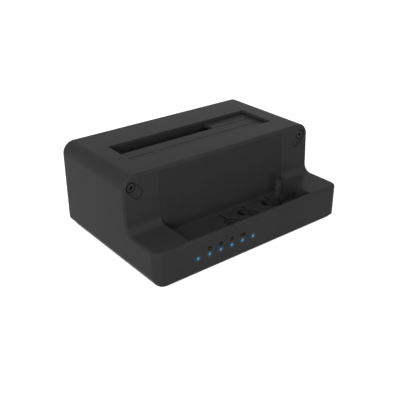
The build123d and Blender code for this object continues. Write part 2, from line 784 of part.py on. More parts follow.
# Hinge pin with a head outside the guide
with BuildPart() as flap_pin:
    with BuildSketch(Plane.YZ.offset(guide_left - guide_wall)):
        with Locations((hinge_y, hinge_z)):
            Circle(pin_radius)
    extrude(amount=guide_right - guide_left + 2 * guide_wall)
    with BuildSketch(Plane.YZ.offset(guide_left - guide_wall)):
        with Locations((hinge_y, hinge_z)):
            Circle(pin_head_radius)
    extrude(amount=-pin_head_length)
flap_pin.part.label = "flap_pin"
export_step(flap_pin.part, "parts/flap_pin.step")

# Torsion spring round the pin, one leg on the flap and one on the guide
with BuildPart() as flap_spring:
    with BuildLine() as spring_path:
        coil = Helix(
            pitch=spring_pitch,
            height=spring_length,
            radius=coil_radius,
            center=(spring_right, hinge_y, hinge_z),
            direction=(-1, 0, 0),
        )
        Line(coil @ 0 - (coil % 0) * spring_leg, coil @ 0)
        Line(coil @ 1, coil @ 1 + (coil % 1) * (guide_front_room - flap_drop))
    with BuildSketch(Plane(origin=coil @ 0 - (coil % 0) * spring_leg, z_dir=coil % 0)):
        Circle(spring_wire / 2)
    sweep(path=spring_path.wire(), is_frenet=True)
flap_spring.part.label = "flap_spring"
export_step(flap_spring.part, "parts/flap_spring.step")

# Main board, with an arm into the left cheek
with BuildPart() as main_board:
    with BuildSketch(Plane.XY.offset(board_under)):
        with Locations((0, (board_front + board_rear) / 2)):
            Rectangle(2 * board_side, board_rear - board_front)
        with Locations(((arm_inner - board_side) / 2, (arm_front + board_front + overrun) / 2)):
            Rectangle(board_side + arm_inner, board_front + overrun - arm_front)
        with Locations(*standoff_places):
            Circle(screw_radius + screw_play, mode=Mode.SUBTRACT)
    extrude(amount=board_thickness)
main_board.part.label = "main_board"
export_step(main_board.part, "parts/main_board.step")

# SATA receptacle: a housing with the data slot and the power slot, each with its key
data_left = sata_left + (sata_length - sata_data_slot - sata_power_slot - sata_slot_spacing) / 2
power_left = data_left + sata_data_slot + sata_slot_spacing
with BuildPart() as sata_receptacle:
    with BuildSketch(Plane.XY.offset(board_top)):
        with Locations((sata_left + sata_length / 2, sata_y)):
            Rectangle(sata_length, sata_depth)
    extrude(amount=sata_height)
    with BuildSketch(Plane.XY.offset(sata_top)):
        for left, length in ((data_left, sata_data_slot), (power_left, sata_power_slot)):
            with Locations((left + length / 2, sata_y)):
                Rectangle(length, sata_slot_width)
            with Locations((left + sata_slot_width / 2, sata_y - sata_slot_width / 2 - sata_key / 2)):
                Rectangle(sata_slot_width, sata_key)
    extrude(amount=-sata_slot_depth, mode=Mode.SUBTRACT)
    chamfer(sata_receptacle.faces().sort_by(Axis.Z)[-1].outer_wire().edges(), sata_slot_width / 4)
sata_receptacle.part.label = "sata_receptacle"
export_step(sata_receptacle.part, "parts/sata_receptacle.step")

# Spring contacts standing against the rear side of each slot
contact_height = sata_slot_depth - sata_slot_width / 2
pin_counts = (data_pin_count, power_pin_count)
with BuildPart() as sata_contacts:
    with BuildSketch(Plane.XY.offset(sata_top - sata_slot_depth)):
        for left, length, pins in zip((data_left, power_left), (sata_data_slot, sata_power_slot), pin_counts):
            middle = left + length / 2 + sata_slot_width / 4
            with Locations((middle, sata_y + sata_slot_width / 2 - contact_thickness / 2)):
                with GridLocations(sata_pitch, 0, pins, 1):
                    Rectangle(contact_width, contact_thickness)
    extrude(amount=contact_height)
sata_contacts.part.label = "sata_contacts"
export_step(sata_contacts.part, "parts/sata_contacts.step")

# Card socket in the pocket's left wall, its mouth facing along +X
with BuildPart() as m2_socket:
    with BuildSketch(Plane.YZ.offset(m2_rear)):
        with Locations((card_y, board_top + m2_height / 2)):
            Rectangle(m2_width, m2_height)
    extrude(amount=m2_length)
    with BuildSketch(Plane.YZ.offset(m2_front)):
        with Locations((card_y, m2_slot_z)):
            Rectangle(m2_slot_width, m2_slot_height)
        with Locations((card_y + m2_slot_width / 2 - m2_key_offset, m2_slot_z)):
            Rectangle(m2_key_width, m2_slot_height, mode=Mode.SUBTRACT)
    extrude(amount=-m2_slot_depth, mode=Mode.SUBTRACT)
    chamfer(m2_socket.faces().sort_by(Axis.X)[-1].outer_wire().edges(), m2_slot_height / 4)
m2_socket.part.label = "m2_socket"
export_step(m2_socket.part, "parts/m2_socket.step")

# Its contacts, a row on each face of the slot with a gap at the key
contact_room = m2_slot_width / 2 - m2_pitch
contact_steps = int(contact_room / m2_pitch)
contact_ys = [card_y + step * m2_pitch for step in range(-contact_steps, contact_steps + 1)]
key_y = card_y + m2_slot_width / 2 - m2_key_offset
contact_ys = [y for y in contact_ys if abs(y - key_y) > m2_key_width / 2 + m2_contact]
with BuildPart() as m2_contacts:
    with BuildSketch(Plane.YZ.offset(m2_front - m2_slot_depth)):
        for side in (-1, 1):
            face_z = m2_slot_z + side * (m2_slot_height / 2 - contact_thickness / 2)
            with Locations(*[(y, face_z) for y in contact_ys]):
                Rectangle(m2_contact, contact_thickness)
    extrude(amount=m2_slot_depth - m2_mouth)
m2_contacts.part.label = "m2_contacts"
export_step(m2_contacts.part, "parts/m2_contacts.step")

# Front lights: board, six chips, and one clear bar whose pegs fill the holes in the front
light_left = light_xs[0] - led_board_margin
light_right = light_xs[-1] + led_board_margin
light_x = (light_left + light_right) / 2
with BuildPart() as led_board:
    with BuildSketch(Plane.XZ.offset(-led_board_rear)):
        with Locations((light_x, (cover_top + led_board_top) / 2)):
            Rectangle(light_right - light_left, led_board_top - cover_top)
    extrude(amount=led_board_thickness)
led_board.part.label = "led_board"
export_step(led_board.part, "parts/led_board.step")

with BuildPart() as leds:
    with BuildSketch(Plane.XZ.offset(-led_board_front)):
        with Locations(*[(x, light_z) for x in light_xs]):
            Rectangle(led_size, led_size / 2)
    extrude(amount=led_depth)
leds.part.label = "leds"
export_step(leds.part, "parts/leds.step")

with BuildPart() as light_bar:
    with BuildSketch(Plane.XZ.offset(-pocket_front - light_bar_depth)):
        with Locations((light_x, light_z)):
            Rectangle(light_right - light_left, light_bar_height)
    extrude(amount=light_bar_depth)
    with BuildSketch(Plane.XZ.offset(-pocket_front)):
        with Locations(*[(x, light_z) for x in light_xs]):
            Circle(light_radius)
    extrude(amount=wall)
light_bar.part.label = "light_bar"
export_step(light_bar.part, "parts/light_bar.step")

# Flat ribbon from the light board to the main board, and its two sockets
ribbon_x = light_x + light_pitch / 2
main_socket_y = board_front + ribbon_socket_depth
with BuildPart() as ribbon_sockets:
    with BuildSketch(Plane.XZ.offset(-led_board_rear)):
        with Locations((ribbon_x, ribbon_z)):
            Rectangle(ribbon_width + 2 * guide_rib_width, ribbon_socket_height)
    extrude(amount=-ribbon_socket_depth)
    with BuildSketch(Plane.XY.offset(board_under)):
        with Locations((ribbon_x, main_socket_y + ribbon_socket_depth / 2)):
            Rectangle(ribbon_width + 2 * guide_rib_width, ribbon_socket_depth)
    extrude(amount=-ribbon_socket_height)
ribbon_sockets.part.label = "ribbon_sockets"
export_step(ribbon_sockets.part, "parts/ribbon_sockets.step")

ribbon_high = board_under - ribbon_socket_height / 2
with BuildPart() as led_ribbon:
    with BuildSketch(Plane.YZ.offset(ribbon_x - ribbon_width / 2)):
        with BuildLine():
            FilletPolyline(
                (led_board_rear + ribbon_socket_depth, ribbon_z),
                (board_front - ribbon_width, ribbon_z),
                (board_front - ribbon_width / 4, ribbon_high),
                (main_socket_y, ribbon_high),
                radius=ribbon_bend,
            )
        trace(line_width=ribbon_thickness)
    extrude(amount=ribbon_width)
led_ribbon.part.label = "led_ribbon"
export_step(led_ribbon.part, "parts/led_ribbon.step")

# Chips, coils and capacitors on the main board
with BuildPart() as board_chips:
    with BuildSketch(Plane.XY.offset(board_top)):
        with Locations((usb_place, slot_front + chip_size)):
            Rectangle(chip_size, chip_size)
        with Locations((usb_place + 2 * chip_size, slot_front + chip_size)):
            Rectangle(chip_size * 3 / 4, chip_size / 2)
        with Locations((jack_place, panel_inner - jack_body_length - chip_size)):
            Rectangle(chip_size / 2, chip_size / 2)
    extrude(amount=chip_height)
board_chips.part.label = "board_chips"
export_step(board_chips.part, "parts/board_chips.step")

rear_row_y = (guide_rear + guide_wall + board_rear) / 2
coil_places = [
    ((button_place + usb_place) / 2, rear_row_y),
    ((arm_inner - board_side) / 2, card_y + (m2_width + coil_size) / 2 + m2_window_gap),
]
with BuildPart() as power_coils:
    with BuildSketch(Plane.XY.offset(board_top)):
        with Locations(*coil_places):
            Rectangle(coil_size, coil_size)
            fillet(vertices(), coil_size / 5)
    extrude(amount=coil_height)
power_coils.part.label = "power_coils"
export_step(power_coils.part, "parts/power_coils.step")

capacitor_xs = (
    (usb_place + usb_width / 2 + jack_place - jack_width / 2) / 2,
    button_place - tact_size / 2 - 2 * capacitor_radius,
    button_place - tact_size / 2 - 5 * capacitor_radius,
)
with BuildPart() as capacitors:
    with BuildSketch(Plane.XY.offset(board_top)):
        with Locations(*[(x, rear_row_y) for x in capacitor_xs]):
            Circle(capacitor_radius)
    extrude(amount=capacitor_height)
    fillet(edges().group_by(Axis.Z)[-1], capacitor_radius / 6)
capacitors.part.label = "capacitors"
export_step(capacitors.part, "parts/capacitors.step")

# USB-C socket: a rolled shell and the tongue inside it
usb_mouth = panel_y - usb_wall
with BuildPart() as usb_shell:
    with BuildSketch(Plane.XZ.offset(-usb_mouth)):
        with Locations((usb_place, usb_z)):
            SlotOverall(usb_width, usb_height)
    extrude(amount=usb_length)
    with BuildSketch(Plane.XZ.offset(-usb_mouth)):
        with Locations((usb_place, usb_z)):
            SlotOverall(usb_width - 2 * usb_wall, usb_height - 2 * usb_wall)
    extrude(amount=usb_length - 2 * usb_wall, mode=Mode.SUBTRACT)
usb_shell.part.label = "usb_shell"
export_step(usb_shell.part, "parts/usb_shell.step")

with BuildPart() as usb_tongue:
    with BuildSketch(Plane.XZ.offset(-(usb_mouth - usb_length + 2 * usb_wall))):
        with Locations((usb_place, usb_z)):
            Rectangle(usb_tongue_width, usb_tongue_thickness)
    extrude(amount=-(usb_length - 2 * usb_wall - usb_tongue_setback))
    fillet(edges().filter_by(Axis.Z).group_by(Axis.Y)[-1], usb_tongue_thickness)
usb_tongue.part.label = "usb_tongue"
export_step(usb_tongue.part, "parts/usb_tongue.step")

# Power inlet: body with a round nose, and its centre pin
jack_mouth = panel_y - usb_wall
with BuildPart() as power_inlet:
    with BuildSketch(Plane.XZ.offset(-panel_inner + port_gap)):
        with Locations((jack_place, board_top + jack_height / 2)):
            Rectangle(jack_width, jack_height)
    extrude(amount=jack_body_length)
    with BuildSketch(Plane.XZ.offset(-panel_inner + port_gap)):
        with Locations((jack_place, jack_z)):
            Circle(jack_nose_radius)
    extrude(amount=panel_inner - port_gap - jack_mouth)
    with BuildSketch(Plane.XZ.offset(-jack_mouth)):
        with Locations((jack_place, jack_z)):
            Circle(jack_bore_radius)
    extrude(amount=jack_bore_depth, mode=Mode.SUBTRACT)
power_inlet.part.label = "power_inlet"
export_step(power_inlet.part, "parts/power_inlet.step")

with BuildPart() as inlet_pin:
    with BuildSketch(Plane.XZ.offset(-jack_mouth + jack_bore_depth)):
        with Locations((jack_place, jack_z)):
            Circle(jack_pin_radius)
    extrude(amount=-(jack_bore_depth - usb_tongue_setback))
    fillet(edges().group_by(Axis.Y)[-1], jack_pin_radius / 2)
inlet_pin.part.label = "inlet_pin"
export_step(inlet_pin.part, "parts/inlet_pin.step")

# Copy button with a flange behind the panel, and the switch it presses
with BuildPart() as copy_button:
    with BuildSketch(Plane.XZ.offset(-button_foot)):
        with Locations((button_place, button_z)):
            Circle(button_radius + button_flange)
    extrude(amount=-button_flange_height)
    with BuildSketch(Plane.XZ.offset(-button_foot)):
        with Locations((button_place, button_z)):
            Circle(button_radius)
    extrude(amount=-(button_face - button_foot))
    fillet(edges().group_by(Axis.Y)[-1], button_flange / 2)
copy_button.part.label = "copy_button"
export_step(copy_button.part, "parts/copy_button.step")

tact_face = button_foot - tact_stem_length
with BuildPart() as copy_switch:
    with BuildSketch(Plane.XZ.offset(-tact_face)):
        with Locations((button_place, button_z)):
            Rectangle(tact_size, tact_size)
    extrude(amount=tact_depth)
    with BuildSketch(Plane.XZ.offset(-tact_face)):
        with Locations((button_place, button_z)):
            Circle(tact_stem_radius + button_play)
    extrude(amount=button_travel + 2 * button_play, mode=Mode.SUBTRACT)
copy_switch.part.label = "copy_switch"
export_step(copy_switch.part, "parts/copy_switch.step")

with BuildPart() as switch_stem:
    with BuildSketch(Plane.XZ.offset(-button_foot)):
        with Locations((button_place, button_z)):
            Circle(tact_stem_radius)
    extrude(amount=tact_stem_length + button_play)
switch_stem.part.label = "switch_stem"
export_step(switch_stem.part, "parts/switch_stem.step")

# Rocker switch: body with its bezel, the rocker on two stub pins, and the two terminals
bezel_face = panel_y + rocker_bezel_depth
rocker_pivot_y = bezel_face - rocker_sink - rocker_reach
with BuildPart() as switch_body:
    with BuildSketch(Plane.XZ.offset(-panel_y)):
        with Locations((rocker_place, rocker_z)):
            Rectangle(switch_width, switch_span)
    extrude(amount=rocker_body_depth)
    with BuildSketch(Plane.XZ.offset(-panel_y)):
        with Locations((rocker_place, rocker_z)):
            Rectangle(switch_width + 2 * rocker_bezel, switch_span + 2 * rocker_bezel)
            fillet(vertices(), rocker_bezel)
    extrude(amount=-rocker_bezel_depth)
    with BuildSketch(Plane.XZ.offset(-bezel_face)):
        with Locations((rocker_place, rocker_z)):
            Rectangle(rocker_width + 2 * rocker_play, rocker_span + 2 * rocker_play)
    extrude(amount=2 * rocker_reach + rocker_sink, mode=Mode.SUBTRACT)
    with BuildSketch(Plane.XY.offset(rocker_z - rocker_span / 2 - rocker_pin_length)):
        with Locations((rocker_place, rocker_pivot_y)):
            Circle(rocker_pin_radius + running_gap)
    extrude(amount=rocker_span + 2 * rocker_pin_length, mode=Mode.SUBTRACT)
switch_body.part.label = "switch_body"
export_step(switch_body.part, "parts/switch_body.step")

# At rest the rocker leans over, with one half of its face level with the bezel
rocker_plane = Plane(
    origin=(rocker_place, rocker_pivot_y, rocker_z - rocker_span / 2),
    x_dir=(math.cos(math.radians(rocker_angle)), math.sin(math.radians(rocker_angle)), 0),
    z_dir=(0, 0, 1),
)
rocker_half = rocker_width / 2
rocker_tip = rocker_half - rocker_sink
rocker_valley = rocker_reach / math.cos(math.radians(rocker_angle))
rocker_crown = rocker_valley + rocker_tip * math.tan(math.radians(rocker_angle))
with BuildPart() as power_rocker:
    with BuildSketch(rocker_plane):
        with BuildLine():
            Polyline(
                (-rocker_tip, rocker_crown),
                (0, rocker_valley),
                (rocker_tip, rocker_crown),
                (rocker_half, 0),
                (rocker_half / 2, -rocker_back),
                (-rocker_half / 2, -rocker_back),
                (-rocker_half, 0),
                close=True,
            )
        make_face()
        fillet(vertices().group_by(Axis.Y)[0], rocker_back / 2)
    extrude(amount=rocker_span)
    with BuildSketch(Plane.XY.offset(rocker_z - rocker_span / 2 - rocker_pin_length + running_gap)):
        with Locations((rocker_place, rocker_pivot_y)):
            Circle(rocker_pin_radius)
    extrude(amount=rocker_span + 2 * rocker_pin_length - 2 * running_gap)
power_rocker.part.label = "power_rocker"
export_step(power_rocker.part, "parts/power_rocker.step")

switch_back = panel_y - rocker_body_depth
with BuildPart() as switch_terminals:
    for side in (-1, 1):
        with BuildSketch(Plane.YZ.offset(rocker_place + side * rocker_half / 2 - terminal_width / 2)):
            with BuildLine():
                Polyline(
                    (switch_back, rocker_z),
                    (switch_back - terminal_reach, rocker_z),
                    (switch_back - terminal_reach, board_top),
                    (switch_back - terminal_reach - terminal_thickness, board_top),
                    (switch_back - terminal_reach - terminal_thickness, rocker_z + terminal_thickness),
                    (switch_back, rocker_z + terminal_thickness),
                    close=True,
                )
            make_face()
        extrude(amount=terminal_width)
switch_terminals.part.label = "switch_terminals"
export_step(switch_terminals.part, "parts/switch_terminals.step")


def screw(length, head_height):
    # A screw that points down: its head stands on the plane's origin, with a hexagon sunk in it
    with BuildPart() as one_screw:
        with BuildSketch():
            Circle(screw_head_radius)
        extrude(amount=head_height)
        with BuildSketch():
            Circle(screw_radius)
        extrude(amount=-length)
        with BuildSketch(Plane.XY.offset(head_height)):
            RegularPolygon(screw_socket_radius, 6)
        extrude(amount=-screw_socket_depth, mode=Mode.SUBTRACT)
    return one_screw.part


# Screws of the tower's front wall reach through it into the drive guide
with BuildPart() as wall_screws:
    wall_screw_length = pad_rear - sink_floor_y + screw_grip - screw_tip_room
    for side in (-1, 1):
        with Locations(Plane(origin=(side * wall_screw_x, sink_floor_y, wall_screw_z), z_dir=(0, -1, 0))):
            add(screw(wall_screw_length, screw_head_height))
wall_screws.part.label = "wall_screws"
export_step(wall_screws.part, "parts/wall_screws.step")

with BuildPart() as guide_screws:
    guide_screw_length = ear_thickness + guide_boss_length - screw_tip_room
    for x in guide_screw_xs:
        with Locations(Plane(origin=(x, guide_screw_y, guide_ear_z - ear_thickness), z_dir=(0, 0, -1))):
            add(screw(guide_screw_length, screw_head_height))
guide_screws.part.label = "guide_screws"
export_step(guide_screws.part, "parts/guide_screws.step")

with BuildPart() as board_screws:
    board_screw_length = board_thickness + screw_grip - screw_tip_room
    for x, y in standoff_places:
        with Locations(Plane(origin=(x, y, board_top), z_dir=(0, 0, 1))):
            add(screw(board_screw_length, screw_head_height))
board_screws.part.label = "board_screws"
export_step(board_screws.part, "parts/board_screws.step")

with BuildPart() as tray_screws:
    tray_screw_length = tray_lug_height + tray_pad_height - screw_tip_room
    for x, y in lug_places:
        with Locations(Plane(origin=(x, y, floor_under - tray_pad_height - tray_lug_height), z_dir=(0, 0, -1))):
            add(screw(tray_screw_length, screw_head_height))
tray_screws.part.label = "tray_screws"
export_step(tray_screws.part, "parts/tray_screws.step")

with BuildPart() as case_screws:
    case_screw_length = wall - cover_head_seat + case_screw_grip - screw_tip_room
    for x, y in boss_places:
        with Locations(Plane(origin=(x, y, case_bottom + cover_head_seat), z_dir=(0, 0, -1))):
            add(screw(case_screw_length, cover_head_seat - screw_play))
case_screws.part.label = "case_screws"
export_step(case_screws.part, "parts/case_screws.step")
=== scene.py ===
import json
import math
import bpy
import bmesh
from mathutils import Matrix, Vector


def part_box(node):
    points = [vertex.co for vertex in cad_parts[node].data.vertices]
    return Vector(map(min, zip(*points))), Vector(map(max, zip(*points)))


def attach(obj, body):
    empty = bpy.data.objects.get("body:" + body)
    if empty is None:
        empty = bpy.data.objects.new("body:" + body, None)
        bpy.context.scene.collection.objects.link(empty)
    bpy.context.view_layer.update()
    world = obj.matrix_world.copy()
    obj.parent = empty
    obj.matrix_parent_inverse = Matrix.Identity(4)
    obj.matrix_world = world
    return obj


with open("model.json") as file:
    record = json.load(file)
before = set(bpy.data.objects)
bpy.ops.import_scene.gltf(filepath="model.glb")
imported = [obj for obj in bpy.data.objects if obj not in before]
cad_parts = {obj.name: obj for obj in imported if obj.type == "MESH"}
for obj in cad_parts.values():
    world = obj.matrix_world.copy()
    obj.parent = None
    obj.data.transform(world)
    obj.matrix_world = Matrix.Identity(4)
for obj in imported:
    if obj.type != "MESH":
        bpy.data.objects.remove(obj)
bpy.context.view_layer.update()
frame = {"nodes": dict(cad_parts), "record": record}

nodes = frame["nodes"]
mm = 0.001
print("stage: frame loaded,", len(nodes), "nodes")


# sRGB hex to the linear values that the shaders work in
def toLinear(hexColour):
    parts = [int(hexColour[i:i + 2], 16) / 255 for i in (1, 3, 5)]
    return [c / 12.92 if c <= 0.04045 else ((c + 0.055) / 1.055) ** 2.4 for c in parts] + [1]


# Fills a node's inputs: each gets a value, or a socket that is linked to it
def setInputs(tree, node, inputs):
    for key, value in inputs.items():
        if isinstance(value, bpy.types.NodeSocket):
            tree.links.new(value, node.inputs[key])
        else:
            node.inputs[key].default_value = value


# Adds a node with its settings and inputs
def addNode(tree, kind, inputs=None, **settings):
    node = tree.nodes.new(kind)
    for name, value in settings.items():
        setattr(node, name, value)
    setInputs(tree, node, inputs or {})
    return node


# New material with its colour and plain values on the shader's own sockets
def startMaterial(name, colour, plainValues):
    material = bpy.data.materials.new(name)
    material.use_nodes = True
    material.diffuse_color = toLinear(colour)
    tree = material.node_tree
    shader = tree.nodes["Principled BSDF"]
    setInputs(tree, shader, {"Base Color": toLinear(colour), **plainValues})
    place = addNode(tree, "ShaderNodeTexCoord").outputs["Object"]
    return material, tree, shader, place


mixFrom, mixTo, mixed = 6, 7, 2  # a colour mix node's two colours and its result, by socket number
noiseRange = {"From Min": 0.3, "From Max": 0.7}  # nearly all of a noise lies between these


# Moulded plastics: one noise draws the grain, a wide one the patches of sheen and tint
def mouldedPlastic(name, look):
    material, tree, shader, place = startMaterial(name, look["colour"], {
        "Roughness": look["roughness"], "IOR": look["ior"], "Specular IOR Level": look["shine"]})
    grain = addNode(tree, "ShaderNodeTexNoise", {
        "Vector": place, "Scale": 1 / (look["grain"] * mm),
        "Detail": look["grainDetail"], "Roughness": look["grainBreak"]})
    bump = addNode(tree, "ShaderNodeBump", {
        "Height": grain.outputs["Fac"],
        "Strength": look["grainStrength"], "Distance": look["grainDepth"] * mm})
    # the melt's flow and many hands leave broad patches a little shinier than the rest
    patches = addNode(tree, "ShaderNodeTexNoise", {
        "Vector": place, "Scale": 1 / (look["patch"] * mm),
        "Detail": look["patchDetail"], "Roughness": look["patchBreak"]})
    sheen = addNode(tree, "ShaderNodeMapRange", {
        "Value": patches.outputs["Fac"], **noiseRange,
        "To Min": look["roughness"] - look["unevenness"],
        "To Max": look["roughness"] + look["unevenness"]})
    tint = addNode(tree, "ShaderNodeMix", {
        "Factor": patches.outputs["Fac"],
        mixFrom: toLinear(look["colour"]), mixTo: toLinear(look["colourWorn"])}, data_type="RGBA")
    setInputs(tree, shader, {
        "Base Color": tint.outputs[mixed], "Roughness": sheen.outputs["Result"],
        "Normal": bump.outputs["Normal"]})
    return material


# Black ABS from a spark-eroded mould: a fine even grain that spreads every highlight wide.
# The real grain is about 0.05 mm, too fine for the render, so it is drawn at 0.5 mm, and those of
# the other plastics at 0.2 to 0.9 mm.
caseLook = dict(colour="#353535", colourWorn="#3b3b3b", roughness=0.33, unevenness=0.03,
                ior=1.46, shine=0.03, grain=0.5, grainDetail=2.0, grainBreak=0.55,
                grainStrength=0.25, grainDepth=0.02, patch=14, patchDetail=3.0, patchBreak=0.6)
# The same resin from a second, duller mould: hardly any gloss
trayLook = dict(caseLook, colour="#343434", colourWorn="#393939", roughness=0.55, shine=0.012)
# The case's plastic again, a little more even
flapLook = dict(caseLook, colour="#353535", colourWorn="#3a3a3a")
# Plain moulded inner walls: a little darker than the outside, with a coarser grain
guideLook = dict(caseLook, colour="#323232", colourWorn="#373737", roughness=0.5, grain=0.9,
                 patch=20)
# Moulded nylon post: a smoother skin than the case's, so its sides shine a little more
postLook = dict(caseLook, colour="#2f2f30", colourWorn="#343435", roughness=0.45,
                grainStrength=0.1, shine=0.06)
# Button's ABS: a lighter grey with a fine grain and some gloss
buttonLook = dict(caseLook, colour="#3c3c3e", colourWorn="#424244", roughness=0.45,
                  grainStrength=0.15, shine=0.25)
# Glossy PBT of the rocker and its housing: sharp, narrow highlights
switchLook = dict(caseLook, colour="#0f0f10", colourWorn="#121213", roughness=0.16,
                  grainStrength=0.05, shine=0.5, patch=6)
# Glass-filled nylon of the sockets: flat black, faintly cloudy from the fibres
socketLook = dict(caseLook, colour="#111112", colourWorn="#171718", roughness=0.4, grain=0.3,
                  patch=1.5)
# Unfilled nylon of the ribbon's sockets and the switch's stem: ivory, waxy and smooth
ivoryLook = dict(caseLook, colour="#e2ddcf", colourWorn="#d8d2c2", roughness=0.4,
                 grainStrength=0.1, patch=2)
# Transfer-moulded epoxy of the chips: flat dark grey with a fine filler grain
chipLook = dict(caseLook, colour="#1d1d1f", colourWorn="#26262a", roughness=0.6, grain=0.2,
                patch=2)
# Pressed ferrite powder of the coils: dull grey and slightly sandy
coilLook = dict(caseLook, colour="#4b4c50", colourWorn="#5a5b5f", roughness=0.7, grain=0.4,
                grainStrength=0.5, patch=2)


# Moulded rubber: dull, with a dusty bloom that lightens it in patches
def mouldedRubber(name, look):
    material, tree, shader, place = startMaterial(name, look["colour"], {
        "Roughness": look["roughness"], "Specular IOR Level": look["shine"]})
    pores = addNode(tree, "ShaderNodeTexVoronoi", {
        "Vector": place, "Scale": 1 / (look["pore"] * mm)}, feature="SMOOTH_F1")
    bump = addNode(tree, "ShaderNodeBump", {
        "Height": pores.outputs["Distance"],
        "Strength": look["poreStrength"], "Distance": look["poreDepth"] * mm})
    bloom = addNode(tree, "ShaderNodeTexNoise", {
        "Vector": place, "Scale": 1 / (look["bloom"] * mm), "Detail": look["bloomDetail"]})
    dust = addNode(tree, "ShaderNodeMix", {
        "Factor": bloom.outputs["Fac"],
        mixFrom: toLinear(look["colour"]), mixTo: toLinear(look["bloomColour"])}, data_type="RGBA")
    setInputs(tree, shader, {
        "Base Color": dust.outputs[mixed], "Normal": bump.outputs["Normal"]})
    return material


# real pores are about 0.1 mm across; they are drawn at 0.4 mm so that they show
rubberLook = dict(colour="#141414", bloomColour="#222222", roughness=0.85, shine=0.3, pore=0.4,
                  poreStrength=0.3, poreDepth=0.03, bloom=2.5, bloomDetail=4.0)


# Plated, drawn and blackened metals; each keeps the default IOR
def platedMetal(name, look):
    material, tree, shader, place = startMaterial(name, look["colour"], {
        "Metallic": 1.0, "Roughness": look["roughness"]})
    # a stretched noise gives the drawing's lines; equal stretch gives the plating's crystals
    stretched = addNode(tree, "ShaderNodeMapping", {"Vector": place, "Scale": look["stretch"]})
    lines = addNode(tree, "ShaderNodeTexNoise", {
        "Vector": stretched.outputs["Vector"], "Scale": 1 / (look["grain"] * mm),
        "Detail": look["grainDetail"]})
    bump = addNode(tree, "ShaderNodeBump", {
        "Height": lines.outputs["Fac"],
        "Strength": look["grainStrength"], "Distance": look["grainDepth"] * mm})
    dull = addNode(tree, "ShaderNodeMapRange", {
        "Value": lines.outputs["Fac"], **noiseRange,
        "To Min": look["roughness"] * look["brightest"],
        "To Max": look["roughness"] * look["dullest"]})
    stain = addNode(tree, "ShaderNodeMix", {
        "Factor": lines.outputs["Fac"],
        mixFrom: toLinear(look["colour"]), mixTo: toLinear(look["colourDark"])}, data_type="RGBA")
    setInputs(tree, shader, {
        "Base Color": stain.outputs[mixed], "Roughness": dull.outputs["Result"],
        "Normal": bump.outputs["Normal"]})
    return material


# Zinc-plated steel of the inner screws and the hinge pin: bluish silver with a soft sparkle.
# Real crystals and drawing lines are under 0.05 mm, so all are drawn at 0.3 to 0.5 mm.
zincLook = dict(colour="#b9bcc2", colourDark="#8d9096", roughness=0.34, brightest=0.75,
                dullest=1.3, stretch=(1, 1, 1), grain=0.3, grainDetail=3.0, grainStrength=0.3,
                grainDepth=0.01)
# Blackened steel of the outer screws: nearly black, oily, with a soft glint on their rims
blackScrewLook = dict(zincLook, colour="#3a3a3c", colourDark="#242426", roughness=0.36, grain=0.4)
# Drawn spring wire: bright, with fine lines in the hinge pin's direction
springLook = dict(zincLook, colour="#b4b4b6", colourDark="#87878a", roughness=0.26,
                  stretch=(1, 6, 6), grain=0.5)
# Nickel-plated steel in the ports: warm silver, quite sharp, with lines drawn front to back
nickelLook = dict(zincLook, colour="#cfccc4", colourDark="#b3b0a8", roughness=0.22,
                  stretch=(1, 0.2, 1), grain=0.5, grainStrength=0.15)
# Gold-plated brass of contacts and terminals: deep yellow, smooth
goldLook = dict(zincLook, colour="#e0b35c", colourDark="#c2933f", roughness=0.2,
                grainStrength=0.1)
# Satin aluminium of the capacitors' cans: drawn upwards, so fine lines run up their sides
canLook = dict(zincLook, colour="#c3c4c8", colourDark="#a3a4a9", roughness=0.3,
               stretch=(1, 1, 0.15), grain=0.5, grainStrength=0.2)


# Circuit boards: green solder mask over copper, glossy, with tracks that show as lighter lines
def maskedBoard(name, look):
    material, tree, shader, place = startMaterial(name, look["mask"], {
        "Roughness": look["roughness"],
        "Coat Weight": look["coat"], "Coat Roughness": look["coatRoughness"]})
    tracks = addNode(tree, "ShaderNodeTexBrick", {
        "Vector": place, "Scale": 1.0,
        "Mortar Size": look["trackGap"] * mm, "Mortar Smooth": look["trackSoftness"],
        "Brick Width": look["trackRun"] * mm, "Row Height": look["trackPitch"] * mm,
        "Color1": toLinear(look["mask"]), "Color2": toLinear(look["track"]),
        "Mortar": toLinear(look["maskDark"])})
    step = addNode(tree, "ShaderNodeBump", {
        "Height": tracks.outputs["Fac"],
        "Strength": look["trackStrength"], "Distance": look["trackDepth"] * mm}, invert=True)
    setInputs(tree, shader, {
        "Base Color": tracks.outputs["Color"], "Normal": step.outputs["Normal"]})
    return material


# real tracks are 0.2 mm wide; these are 1.2 mm apart so that they show
boardLook = dict(mask="#0d3b22", maskDark="#082a17", track="#14502f", roughness=0.3, coat=0.4,
                 coatRoughness=0.12, trackPitch=1.2, trackRun=14, trackGap=0.28,
                 trackSoftness=0.1, trackStrength=0.4, trackDepth=0.03)


